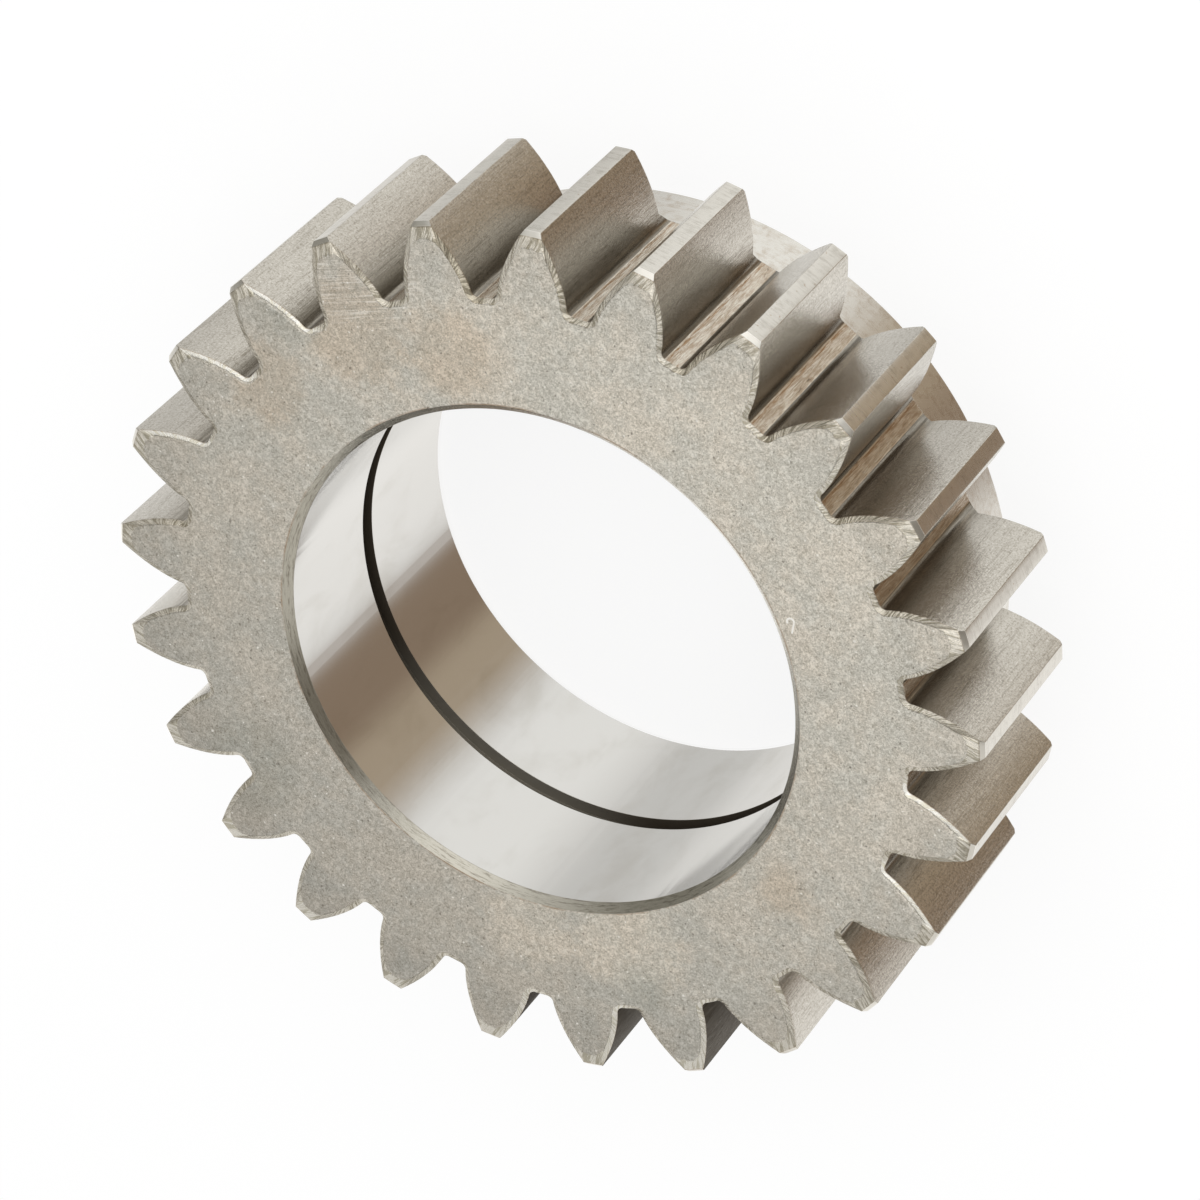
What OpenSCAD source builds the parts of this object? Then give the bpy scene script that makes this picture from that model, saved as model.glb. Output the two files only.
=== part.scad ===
// Reverse gear: a straight-cut spur gear with a long collar on its back.
// It is one steel forging, turned, hobbed, deburred at the front tooth ends and
// ground in the bore, where a ring groove lies between the two bearings.
// The axis is Z. The gear stands on the end of its collar, at Z = 0, with the
// deburred tooth ends up and the middle of one tooth on +X.

/* [Teeth] */
// Number of teeth
teeth = 25; // [24:1:40]
// Module, the pitch circle's diameter divided by the number of teeth
tooth_module = 4; // [3.75:0.25:6]
// Pressure angle of the rack that cuts the teeth
pressure_angle = 25; // [20:0.5:26]
// Profile shift, in modules
profile_shift = 0.05; // [-0.1:0.05:0.3]
// Depth of the rack's tooth below its pitch line, in modules
dedendum = 1.2; // [1.15:0.05:1.4]
// How much thinner each tooth is than half the pitch
backlash = 0.1; // [0:0.02:0.3]
// Radius at the foot of each flank, less where the tooth space is too narrow
root_fillet = 0.8; // [0.4:0.1:1.6]
// Width of the toothed rim along the axis
face_w = 23.4; // [12:0.2:40]

/* [Tooth ends] */
// Depth of the deburring chamfer below the front face
deburr_depth = 0.3; // [0.1:0.05:0.6]
// Width of the deburring chamfer along the flanks and round the roots
deburr_w = 0.75; // [0.3:0.05:0.9]
// Radial width of the deburring chamfer on the crest of each tooth
deburr_crest = 2; // [1:0.1:3]
// Turned bevel on the front corner of the crests, below the deburring chamfer
front_bevel = 0.45; // [0.2:0.05:0.8]
// Turned bevel on the back corner of the crests
back_bevel = 0.35; // [0.2:0.05:0.8]

/* [Collar] */
// How far the collar stands out behind the toothed rim
collar_l = 14.2; // [6:0.2:30]
// Outside diameter of the collar
collar_d = 84.5; // [74:0.5:88]
// Chamfer on the outside of the collar's end
collar_chamfer = 0.8; // [0.3:0.1:1.5]
// Length of the turned cone behind the rim, which the tooth spaces run into
shoulder_l = 2; // [0.8:0.1:3]
// How far the small end of the cone lies inside the root circle
shoulder_drop = 0.1; // [0.05:0.05:0.5]
// How far its large end, on the back of the rim, lies outside the root circle
shoulder_rise = 1.6; // [0.4:0.1:3]
// Radius in the corner between the cone's small end and the collar
neck_fillet = 0.8; // [0.4:0.1:1.5]

/* [Bore] */
// Diameter of the ground bore
bore_d = 63; // [50:0.5:66]
// Chamfer at both ends of the bore
bore_chamfer = 1; // [0.5:0.1:1.5]
// Width of the ring groove, which lies halfway along the bore
groove_w = 2.15; // [1.5:0.05:3]
// Depth of the ring groove below the wall of the bore
groove_depth = 1.5; // [0.8:0.1:2.5]

/* [Hidden] */

// Facets of a full circle, where a preview needs them
$fn = 180;
// Straight pieces in each fillet, each flank and the crest of each tooth
fillet_steps = 5;
flank_steps = 6;
crest_steps = 8;
// Width of the root that the fillets leave between them, at least
root_flat = 0.1;
// How far a cutting body runs past the face it cuts through
overrun = 1;
// Degrees in a full turn, half a turn and a quarter turn, and in a radian
turn = 360;
half_turn = turn / 2;
quarter_turn = turn / 4;
radian = half_turn / PI;
// The root fillet gets smaller in these steps until it fits the tooth space
fillet_trim = 0.05;
// Halvings that find the middle of the full round on a tooth's end
halvings = 24;

gear_l = face_w + collar_l;
pitch_r = tooth_module * teeth / 2;
base_r = pitch_r * cos(pressure_angle);
tip_r = pitch_r + tooth_module * (1 + profile_shift);
root_r = pitch_r - tooth_module * (dedendum - profile_shift);
bore_r = bore_d / 2;
collar_r = collar_d / 2;
shoulder_r = root_r - shoulder_drop;
cone_r = root_r + shoulder_rise;
neck_z = collar_l - shoulder_l;

// Half of the angle that a tooth takes up on the pitch circle, and then on the
// base circle, where the involute starts
pitch_half = quarter_turn / teeth + radian * (2 * profile_shift * tan(pressure_angle) / teeth
    - backlash / (2 * pitch_r));
base_half = pitch_half + radian * tan(pressure_angle) - pressure_angle;

function polar(r, a) = [r * cos(a), r * sin(a)];
function turned(p, a) = [p.x * cos(a) - p.y * sin(a), p.x * sin(a) + p.y * cos(a)];

// A place on a flank is given by t, the tangent of its pressure angle: t is 0 on
// the base circle, and base_r * t is the length of the line that unwinds to it.
function t_at(r) = sqrt(max(0, pow(r / base_r, 2) - 1));
function on_flank(half, t) =
    polar(base_r * sqrt(1 + t * t), half - radian * t + atan(t));

// The fillet touches the root circle and the flank, or the radial line below the
// flank where the root circle lies well inside the base circle.
function fillet_t(r) = (sqrt(max(0, pow(root_r + r, 2) - base_r * base_r)) - r) / base_r;
function fillet_angle(r) = fillet_t(r) > 0
    ? base_half - radian * fillet_t(r) + acos(base_r / (root_r + r))
    : base_half + asin(r / (root_r + r));
function fitting_fillet(r) =
    fillet_angle(r) + radian * root_flat / (2 * root_r) <= half_turn / teeth ? r
    : fitting_fillet(r - fillet_trim);
fillet_r = fitting_fillet(root_fillet);

// The side of a tooth from its root to t_end on the flank, moved into the metal
// by inset
function side(inset, t_end) =
    let (half = base_half - radian * inset / base_r,
         t_start = max(0, fillet_t(fillet_r) - inset / base_r),
         centre = polar(root_r + fillet_r, fillet_angle(fillet_r)),
         from = fillet_angle(fillet_r) + half_turn,
         to = base_half - radian * max(0, fillet_t(fillet_r)) + turn - quarter_turn)
    concat(
        [for (i = [0:fillet_steps - 1])
            centre + polar(fillet_r + inset, from + (to - from) * i / fillet_steps)],
        [for (i = [0:flank_steps]) on_flank(half, t_start + (t_end - t_start) * i / flank_steps)]);

// All the teeth in one closed line, from one side and the points of one crest
function toothed_line(flank, crest) =
    let (n = len(flank),
         tooth = concat([for (p = flank) [p.x, -p.y]], crest, [for (i = [1:n]) flank[n - i]]))
    [for (k = [0:teeth - 1], p = tooth) turned(p, turn * k / teeth)];

// The crest of a whole tooth lies on a circle
function round_crest(r) =
    let (half = base_half - radian * t_at(r) + atan(t_at(r)))
    [for (i = [1:crest_steps - 1]) polar(r, half * (2 * i / crest_steps - 1))];

// On the front face, each tooth ends in a full round between its inset flanks.
// Its middle lies on the tooth's middle line, where the pressure angle's tangent
// is s, and its radius is half of the tooth's thickness there.
face_half = base_half - radian * deburr_w / base_r;
function end_radius(s) = base_r * (face_half - radian * s + atan(s)) / radian;
function end_reach(s) = base_r * sqrt(1 + s * s) + end_radius(s);
function middle_for(reach, low, high, tries) =
    let (s = (low + high) / 2)
    tries == 0 ? s
    : end_reach(s) < reach ? middle_for(reach, s, high, tries - 1)
    : middle_for(reach, low, s, tries - 1);
end_s = middle_for(tip_r - deburr_crest, 0, t_at(tip_r), halvings);
end_r = end_radius(end_s);
end_t = end_s + end_r / base_r;
end_turn = face_half - radian * end_t + quarter_turn;
face_crest = [for (i = [1:crest_steps - 1])
    [base_r * sqrt(1 + end_s * end_s), 0] + polar(end_r, end_turn * (2 * i / crest_steps - 1))];

crest_t = t_at(tip_r);
rim_line = toothed_line(side(0, crest_t), round_crest(tip_r));
face_line = toothed_line(side(deburr_w, end_t), face_crest);

// Height of the foot of the deburring chamfer
deburr_z = gear_l - deburr_depth;

steel = [0.74, 0.72, 0.68];

// The last layer of the rim, which leans in from the rim's outline to the edge of
// the flat face. Both caps are fans of triangles round the axis.
module deburred_layer() {
    n = len(rim_line);
    points = concat(
        [for (p = rim_line) [p.x, p.y, deburr_z]],
        [for (p = face_line) [p.x, p.y, gear_l]],
        [[0, 0, deburr_z], [0, 0, gear_l]]);
    faces = [for (a = [0:n - 1])
        let (b = (a + 1) % n)
        each [[a, a + n, b + n], [a, b + n, b], [a, b, 2 * n], [b + n, a + n, 2 * n + 1]]];
    polyhedron(points, faces, convexity = 10);
}

// What a turning tool takes off the corner of the crests at one end of the rim
module crest_bevel(size) {
    rotate_extrude()
        translate([tip_r - size, 0])
            polygon([[-overrun, -overrun], [size + overrun, -overrun],
                     [size + overrun, size + overrun]]);
}

// What is turned off behind the teeth, which leaves the flat back of the rim and
// the cone
module back_turning() {
    outside = tip_r + overrun;
    rotate_extrude()
        polygon([[shoulder_r, neck_z - overrun], [outside, neck_z - overrun],
                 [outside, collar_l], [cone_r, collar_l], [shoulder_r, neck_z]]);
}

module toothed_rim() {
    difference() {
        union() {
            translate([0, 0, neck_z])
                linear_extrude(deburr_z - neck_z, convexity = 10)
                    polygon(rim_line);
            deburred_layer();
        }
        back_turning();
        translate([0, 0, collar_l])
            crest_bevel(back_bevel);
        translate([0, 0, deburr_z])
            mirror([0, 0, 1])
                crest_bevel(front_bevel);
    }
}

// The collar and the ring of metal in its corner both reach into the rim
module collar() {
    corner = max(0, min(neck_fillet, shoulder_r - collar_r));
    rotate_extrude() {
        polygon([[0, 0], [collar_r - collar_chamfer, 0], [collar_r, collar_chamfer],
                 [collar_r, collar_l], [0, collar_l]]);
        if (corner > 0)
            difference() {
                translate([collar_r, neck_z - corner])
                    square([corner, corner + shoulder_l / 2]);
                translate([collar_r + corner, neck_z - corner])
                    circle(corner);
            }
    }
}

module bore_cut() {
    groove_z = (gear_l - groove_w) / 2;
    mouth = bore_r + bore_chamfer + overrun;
    rotate_extrude()
        polygon([[0, -overrun], [mouth, -overrun], [bore_r, bore_chamfer],
                 [bore_r, groove_z], [bore_r + groove_depth, groove_z],
                 [bore_r + groove_depth, groove_z + groove_w], [bore_r, groove_z + groove_w],
                 [bore_r, gear_l - bore_chamfer], [mouth, gear_l + overrun], [0, gear_l + overrun]]);
}

module reverse_gear() {
    color(steel)
        difference() {
            union() {
                toothed_rim();
                collar();
            }
            bore_cut();
        }
}

reverse_gear();
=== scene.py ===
import bpy
import math
import numpy as np
from mathutils import Matrix, Vector


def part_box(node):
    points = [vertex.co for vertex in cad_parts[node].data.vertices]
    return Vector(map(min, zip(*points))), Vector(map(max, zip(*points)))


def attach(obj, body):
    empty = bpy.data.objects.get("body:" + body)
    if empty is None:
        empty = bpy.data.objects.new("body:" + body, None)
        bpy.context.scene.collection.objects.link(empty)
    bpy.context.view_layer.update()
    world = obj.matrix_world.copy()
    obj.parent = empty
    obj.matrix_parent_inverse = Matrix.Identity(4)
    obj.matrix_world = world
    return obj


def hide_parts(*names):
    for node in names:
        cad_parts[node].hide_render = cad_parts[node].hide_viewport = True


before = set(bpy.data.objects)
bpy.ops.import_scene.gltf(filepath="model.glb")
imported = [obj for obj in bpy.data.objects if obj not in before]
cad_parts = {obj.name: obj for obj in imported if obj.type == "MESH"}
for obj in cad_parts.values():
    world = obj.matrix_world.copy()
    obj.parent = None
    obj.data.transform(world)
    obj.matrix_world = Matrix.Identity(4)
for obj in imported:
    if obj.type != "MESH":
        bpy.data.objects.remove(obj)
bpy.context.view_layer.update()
print("the packed gear is loaded")

mm = 0.001  # lengths below are in millimetres, objects are in metres
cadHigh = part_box("reverse_gear")[1]
gearLength = cadHigh.z / mm
tipRadius = cadHigh.x / mm

# Where the photograph was taken from: angles in degrees, lengths in millimetres
shot = {
    "azimuth": -93.768,
    "elevation": 50.071,
    "roll": -136.700,
    "distance": 577.92,
    "aimRight": 7.259,
    "aimUp": 7.303,
    "lens": 154.619,
    "sensor": 36.0,
    "nearest": 0.01,  # what the camera sees starts and ends here, in metres
    "farthest": 20,
}


def towards(azimuth, elevation):  # unit vector, from angles in degrees
    flat = math.cos(math.radians(elevation))
    return Vector((flat * math.cos(math.radians(azimuth)), flat * math.sin(math.radians(azimuth)),
                   math.sin(math.radians(elevation))))


def makeCamera():
    azimuth, roll = math.radians(shot["azimuth"]), math.radians(shot["roll"])
    toCamera = towards(shot["azimuth"], shot["elevation"])
    level = Vector((-math.sin(azimuth), math.cos(azimuth), 0))
    steep = toCamera.cross(level)
    right = math.cos(roll) * level + math.sin(roll) * steep
    up = math.cos(roll) * steep - math.sin(roll) * level
    data = bpy.data.cameras.new("camera")
    data.lens, data.sensor_width = shot["lens"], shot["sensor"]
    data.clip_start, data.clip_end = shot["nearest"], shot["farthest"]
    camera = bpy.data.objects.new("camera", data)
    frontCentre = Vector((0, 0, gearLength))
    place = frontCentre + shot["aimRight"] * right + shot["aimUp"] * up + shot["distance"] * toCamera
    camera.matrix_world = Matrix((
        (right.x, up.x, toCamera.x, place.x * mm),
        (right.y, up.y, toCamera.y, place.y * mm),
        (right.z, up.z, toCamera.z, place.z * mm),
        (0, 0, 0, 1)))
    bpy.context.scene.collection.objects.link(camera)
    bpy.context.scene.camera = camera


makeCamera()
print("camera made")

# The gear's sizes, as it was hobbed and turned
gear = {
    "teeth": 25,
    "module": 4.0,
    "pressureAngle": math.radians(25),
    "profileShift": 0.05,
    "dedendum": 1.2,
    "backlash": 0.1,
    "rootFillet": 0.8,
    "rimWidth": 23.4,
    "deburrDepth": 0.3,
    "deburrWidth": 0.75,
    "deburrCrest": 2.0,
    "frontBevel": 0.45,
    "backBevel": 0.35,
    "collarRadius": 42.25,
    "collarChamfer": 0.8,
    "shoulderLength": 2.0,
    "shoulderDrop": 0.1,
    "shoulderRise": 1.6,
    "neckFillet": 0.8,
    "boreRadius": 31.5,
    "boreChamfer": 1.0,
    "grooveWidth": 2.15,
    "grooveDepth": 1.5,
}

# How the gear's mesh is laid out
layout = {
    "edgeEase": 0.05,  # each sharp corner is broken by this much
    "easeLimit": 0.3,  # or by this share of a line beside it, where that is less
    "besideEdge": 0.6,  # the rings beside a broken edge lie this share of edgeEase from it
    "filletSteps": 6,
    "footSteps": 3,
    "flankSteps": 9,
    "crestSteps": 4,
    "sideSteps": 8,
    "sideEnds": (1, 1.5),  # from the bevels to the first and the last ring between them
    "faceRings": (34, 37, 40),  # radii of the round rings on the face
    "faceBend": 42.5,  # radius where the face's mesh starts to follow the teeth
    "deburrRings": (0.07, 0.35, 0.65, 0.93),  # shares of the deburring's width
    "halvings": 40,  # that find the middle of the full round on a tooth's end
    "crispness": 60,  # degrees: surfaces that meet at more than this keep a sharp edge
}

# Points in a plane are complex numbers: the real part is x and the imaginary part is y
pitchRadius = gear["module"] * gear["teeth"] / 2
baseRadius = pitchRadius * math.cos(gear["pressureAngle"])
rootRadius = pitchRadius - gear["module"] * (gear["dedendum"] - gear["profileShift"])
coneRadius = rootRadius + gear["shoulderRise"]
# Half the angle of a tooth at the pitch circle, then at the base circle
halfPitch = math.pi / 2 / gear["teeth"] - gear["backlash"] / 2 / pitchRadius
halfPitch += 2 * gear["profileShift"] * math.tan(gear["pressureAngle"]) / gear["teeth"]
halfBase = halfPitch + math.tan(gear["pressureAngle"]) - gear["pressureAngle"]
backZ = gearLength - gear["rimWidth"]
neckZ = backZ - gear["shoulderLength"]


def unwound(radius):  # tangent of a flank's pressure angle where it crosses the radius
    return math.sqrt((radius / baseRadius) ** 2 - 1)


def onFlank(half, t):  # the involute that starts at the angle half
    return baseRadius * np.sqrt(1 + t * t) * np.exp(1j * (half - t + np.arctan(t)))


def toothSide(inset, tEnd):  # root to crest, moved into the metal by inset
    fillet, back = gear["rootFillet"], inset / baseRadius
    tStart = (math.sqrt((rootRadius + fillet) ** 2 - baseRadius ** 2) - fillet) / baseRadius
    centreAngle = halfBase - tStart + math.acos(baseRadius / (rootRadius + fillet))
    turns = np.linspace(centreAngle + math.pi, halfBase - tStart + 1.5 * math.pi,
                        layout["filletSteps"] + 1)[:-1]
    centre = (rootRadius + fillet) * np.exp(1j * centreAngle)
    tCone = unwound(coneRadius)  # a column of the mesh starts where the cone meets the flank
    t = np.concatenate([np.linspace(tStart, tCone, layout["footSteps"] + 1)[:-1] - back,
                        np.linspace(tCone - back, tEnd, layout["flankSteps"] + 1)])
    return np.concatenate([centre + (fillet + inset) * np.exp(1j * turns),
                           onFlank(halfBase - back, t)])


def allTeeth(side, crest):  # counter-clockwise round the whole rim
    tooth = np.concatenate([side.conj(), crest, side[::-1]])
    turn = np.exp(2j * math.pi / gear["teeth"] * np.arange(gear["teeth"]))
    return (turn[:, None] * tooth[None, :]).ravel()


def rimOutline(radius):  # the whole teeth, with crests at the radius
    ease = layout["edgeEase"]
    t = unwound(radius)
    half = halfBase - t + math.atan(t) - ease / radius
    crest = radius * np.exp(1j * np.linspace(-half, half, layout["crestSteps"]))
    return allTeeth(toothSide(0, unwound(radius - ease)), crest)


def faceOutline(inset, reach):  # the flat face, where each tooth ends in a full round
    half = halfBase - inset / baseRadius
    low, high = 0.0, unwound(tipRadius)
    for _ in range(layout["halvings"]):
        t = (low + high) / 2
        endRadius = baseRadius * (half - t + math.atan(t))
        if baseRadius * math.sqrt(1 + t * t) + endRadius < reach:
            low = t
        else:
            high = t
    tEnd = t + endRadius / baseRadius
    turn = half - tEnd + math.pi / 2
    crest = np.linspace(-turn, turn, layout["crestSteps"] + 2)[1:-1]
    middle = baseRadius * math.sqrt(1 + t * t)
    return allTeeth(toothSide(inset, tEnd), middle + endRadius * np.exp(1j * crest))


def eased(profile, ease):  # each corner of a turned profile becomes two points
    out = [profile[0]]
    for before, here, after in zip(profile, profile[1:], profile[2:]):
        for other in (before, after):
            step = np.subtract(other[:2], here[:2])
            radius, height = here[:2] + step * min(layout["easeLimit"], ease / np.linalg.norm(step))
            out.append((radius, height, here[2]))
    return out + [profile[-1]]


def gearRings():
    ease = layout["edgeEase"]
    deburrZ = gearLength - gear["deburrDepth"]
    bevelZ = deburrZ - gear["frontBevel"]
    slope = gear["deburrDepth"] / gear["deburrCrest"]
    bevelTop = tipRadius - gear["frontBevel"] / (1 - slope)
    rings = []  # points, heights, the surface from this ring to the next, share of the deburring

    columns = rimOutline(tipRadius)
    isCrest = np.abs(columns) > tipRadius - ease / 2
    direction = np.exp(1j * np.angle(columns))

    def ring(points, height, surface, share=1.0):
        heights = np.broadcast_to(height, points.shape).astype(float)
        rings.append((points, heights, surface, share))

    # front face, from the bore outwards
    face = faceOutline(gear["deburrWidth"] + ease, tipRadius - gear["deburrCrest"] - ease)
    for radius in layout["faceRings"]:
        ring(radius * direction, gearLength, "face", 0)
    ring(layout["faceBend"] * np.exp(1j * np.angle(face)), gearLength, "face", 0)
    ring(face, gearLength, "face", 0)
    lip = faceOutline(gear["deburrWidth"], tipRadius - gear["deburrCrest"])
    top = rimOutline(bevelTop)
    beside = layout["besideEdge"] * ease
    topZ = np.where(isCrest, deburrZ + slope * (tipRadius - bevelTop), deburrZ)
    for share in layout["deburrRings"]:
        ring(lip + share * (top - lip), gearLength + share * (topZ - gearLength), "deburr", share)
    ring(rimOutline(bevelTop + ease), np.where(isCrest, topZ, deburrZ) - ease, "bevel")
    ring(rimOutline(tipRadius - beside), bevelZ + beside, "bevel")
    # down the teeth
    below, above = layout["sideEnds"]
    ring(columns, bevelZ - beside, "side")
    for height in np.linspace(bevelZ - below, backZ + above, layout["sideSteps"]):
        ring(columns, height, "side")
    ring(columns, backZ + gear["backBevel"] + beside, "bevel")
    ring(rimOutline(tipRadius - beside), backZ + gear["backBevel"] - beside, "bevel")
    lastRadius = tipRadius - gear["backBevel"] + ease
    ring(rimOutline(lastRadius), backZ + ease, "bevel")

    # the back of the rim, where only the feet of the teeth run on into the cone
    reach = np.abs(columns)
    isFoot = reach < coneRadius + ease / 2

    def cutAt(radius):
        return np.where(reach > radius + ease / 2, radius * direction, columns)

    edge = rimOutline(lastRadius - 2 * ease) - ease * direction
    ring(np.where(isFoot, columns, edge), np.where(isFoot, backZ + beside, backZ), "back")
    ring(cutAt(coneRadius + ease), np.where(isFoot, backZ + beside / 2, backZ), "back")
    shoulder = rootRadius - gear["shoulderDrop"]
    feet = np.unique(np.round(reach[reach < coneRadius + ease / 2], 6))[::-1]
    for radius in feet[feet > rootRadius + ease]:
        height = neckZ + (radius - shoulder) / (coneRadius - shoulder) * (backZ - neckZ)
        ring(cutAt(radius), height, "cone")

    # everything that is turned, down the back and up through the bore
    fillet, collar = gear["neckFillet"], gear["collarRadius"]
    hole, chamfer = gear["boreRadius"], gear["boreChamfer"]
    neck = [(collar + fillet * (1 - math.sin(turn)), neckZ - fillet * (1 - math.cos(turn)), "collar")
            for turn in np.linspace(0, math.pi / 2, layout["filletSteps"] + 1)]
    grooveLow, grooveHigh = ((gearLength + way * gear["grooveWidth"]) / 2 for way in (-1, 1))
    deep = hole + gear["grooveDepth"]
    coneEnd = neckZ + gear["shoulderDrop"] / (coneRadius - shoulder) * (backZ - neckZ)
    profile = eased([
        (rootRadius, coneEnd, "collar"), (shoulder, neckZ, "collar"), neck[0]], ease)[:-1] + neck[:-1]
    profile += eased([
        neck[-1], (collar, gear["collarChamfer"], "collar"), (collar - gear["collarChamfer"], 0, "end"),
        (hole + chamfer, 0, "mouth"), (hole, chamfer, "bore"), (hole, grooveLow, "groove"),
        (deep, grooveLow, "groove"), (deep, grooveHigh, "groove"), (hole, grooveHigh, "bore"),
        (hole, gearLength - chamfer, "mouth"), (hole + chamfer, gearLength, "face"),
        (layout["faceRings"][0], gearLength, "face")], ease)[:-1]
    for radius, height, surface in profile:
        ring(radius * direction, height, surface)
    return rings, columns, isCrest


# A corner of a quad stands on this ring and this column, counted from the quad's own
quadCorners = ((0, 0), (1, 0), (1, 1), (0, 1))
crispness = math.cos(math.radians(layout["crispness"]))


def cornerNormals(across):  # each takes in the quads round its corner that meet smoothly
    facing = across / np.linalg.norm(across, axis=-1, keepdims=True)
    normals = []
    for down, over in quadCorners:
        total = np.zeros_like(across)
        for shift in ((down - a, over - b) for a in (0, 1) for b in (0, 1)):
            back = (-shift[0], -shift[1])
            otherAcross, otherFacing = (np.roll(v, back, axis=(0, 1)) for v in (across, facing))
            smooth = (facing * otherFacing).sum(axis=-1, keepdims=True) > crispness
            total += np.where(smooth, otherAcross, 0)
        normals.append(total / np.linalg.norm(total, axis=-1, keepdims=True))
    return np.stack(normals, axis=2)


def surfaceNames(rings, columns, isCrest):  # one for each quad, ring by ring
    reach, names = np.abs(columns), []
    onCrest = isCrest & np.roll(isCrest, -1)
    onFloor = np.maximum(reach, np.roll(reach, -1)) < rootRadius + layout["edgeEase"]
    toothed = np.where(onFloor, "floor", "flank")
    pastFoot = reach > coneRadius
    for points, _, surface, _ in rings:
        if surface == "side":
            names.append(np.where(onCrest, "land", toothed))
        elif surface == "bevel":
            names.append(np.where(onCrest, "bevel", toothed))
        elif surface == "back":
            names.append(np.where(pastFoot | np.roll(pastFoot, -1), "back", toothed))
        elif surface == "cone":
            cut = np.abs(points) > np.abs(points).max() - layout["edgeEase"] / 2
            names.append(np.where(cut & np.roll(cut, -1), "collar", toothed))
        else:
            names.append(np.full(len(columns), surface))
    return np.concatenate(names)


# How light the deburring came out on one side, the crest and the other side of a tooth, from -1,
# which is burnt olive brown, to 1, which is a white burr, its white partly a painted highlight. Tooth 0
# lies on X
toothTintsAndHighlights = {
    0: (1, 0.1, 0.1), 1: (0.8, 0.3, 0.3), 2: (-0.2, 0.2, 0.3), 3: (-0.1, 0.3, 0.3), 4: (0, 0.4, 0.3),
    5: (0.1, 0.5, 0.2), 6: (0.1, 0.5, 0.2), 7: (0.1, 0.4, 0.2), 8: (0, 0.4, 0.5), 9: (0, 0.4, 0.6),
    10: (0, 0.5, 0.5), 11: (0, 0.3, 0.3), 12: (0.1, 0.1, -0.2), 13: (0.1, 0.1, 1),
    14: (0.1, 0.1, 1), 15: (0.2, 0.3, -0.2), 16: (0.3, 0.3, -0.3), 17: (0.4, 0.2, -0.4),
    18: (0.4, 0.2, -0.4), 19: (0.3, 0.2, -0.5), 20: (0.1, 0.2, -0.1), 21: (-0.4, 0.2, 0.3),
    22: (-0.6, 0.2, 0.3), 23: (-0.3, 0.1, 0.1), 24: (1, 0.1, 0.1),
}


def tintAndHighlightAlong(columnCount):
    perTooth = columnCount // gear["teeth"]
    sideCount = (perTooth - layout["crestSteps"]) // 2
    light = np.zeros(columnCount + 1)
    for tooth, (first, crest, second) in toothTintsAndHighlights.items():
        start = tooth * perTooth
        light[start:start + sideCount] = first
        light[start + sideCount:start + perTooth - sideCount] = crest
        light[start + perTooth - sideCount:start + perTooth] = second
    light[-1] = light[0]
    return light


def makeGear():
    rings, columns, isCrest = gearRings()
    points = np.array([ring[0] for ring in rings])
    heights = np.array([ring[1] for ring in rings])
    verts = np.stack([points.real, points.imag, heights], axis=-1)
    ringCount, columnCount = points.shape
    grid = np.arange(ringCount * columnCount).reshape(points.shape)
    corners = [np.roll(grid, (-down, -over), axis=(0, 1)) for down, over in quadCorners]
    flat = verts.reshape(-1, 3)
    across = np.cross(flat[corners[2]] - flat[corners[0]], flat[corners[3]] - flat[corners[1]])
    quads = np.stack(corners, axis=2)
    normals = cornerNormals(across)

    # for the finishes: the length along the outline, the share of the deburring, the tooth, and
    # how light its deburring is, the white partly a painted highlight
    along = np.concatenate([[0], np.cumsum(np.abs(np.roll(columns, -1) - columns))])
    share = np.array([ring[3] for ring in rings])
    tooth = np.arange(columnCount) * gear["teeth"] // columnCount
    light = tintAndHighlightAlong(columnCount)
    places = np.zeros(quads.shape + (3,))
    lights = np.zeros(quads.shape + (1,))
    for corner, (down, over) in enumerate(quadCorners):
        places[:, :, corner, 0] = along[over:columnCount + over]
        places[:, :, corner, 1] = np.roll(share, -down)[:, None]
        places[:, :, corner, 2] = tooth
        lights[:, :, corner, 0] = light[over:columnCount + over]

    # both sides of a tooth are split into triangles alike
    rising = np.abs(np.roll(columns, -1)) > np.abs(columns)
    for values in (quads, normals, places, lights):
        values[:, rising] = np.roll(values[:, rising], -1, axis=2)
    mesh = bpy.data.meshes.new("gearBody")
    mesh.from_pydata((flat * mm).tolist(), [], quads.reshape(-1, 4).tolist())
    mesh.polygons.foreach_set("use_smooth", [True] * len(mesh.polygons))
    edgePlace = mesh.attributes.new("edgePlace", "FLOAT_VECTOR", "CORNER")
    edgePlace.data.foreach_set("vector", places.ravel())
    edgeTintAndHighlight = mesh.attributes.new("edgeTintAndHighlight", "FLOAT", "CORNER")
    edgeTintAndHighlight.data.foreach_set("value", lights.ravel())
    mesh.normals_split_custom_set(normals.reshape(-1, 3).tolist())
    body = bpy.data.objects.new("gearBody", mesh)
    bpy.context.scene.collection.objects.link(body)
    print("gear mesh made:", ringCount, "rings of", columnCount)
    return body, surfaceNames(rings, columns, isCrest)


body, surfaces = makeGear()
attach(body, "root")
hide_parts("reverse_gear")


class Wire:  # one output of a shader tree; arithmetic on it adds Math nodes
    def __init__(self, tree, socket):
        self.tree, self.socket = tree, socket

    def __add__(self, other):
        return self.tree.maths("ADD", self, other)

    def __sub__(self, other):
        return self.tree.maths("SUBTRACT", self, other)

    def __rsub__(self, other):
        return self.tree.maths("SUBTRACT", other, self)

    def __mul__(self, other):
        return self.tree.maths("MULTIPLY", self, other)

    def __truediv__(self, other):
        return self.tree.maths("DIVIDE", self, other)

    def __rtruediv__(self, other):
        return self.tree.maths("DIVIDE", other, self)

    __radd__, __rmul__ = __add__, __mul__


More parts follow.
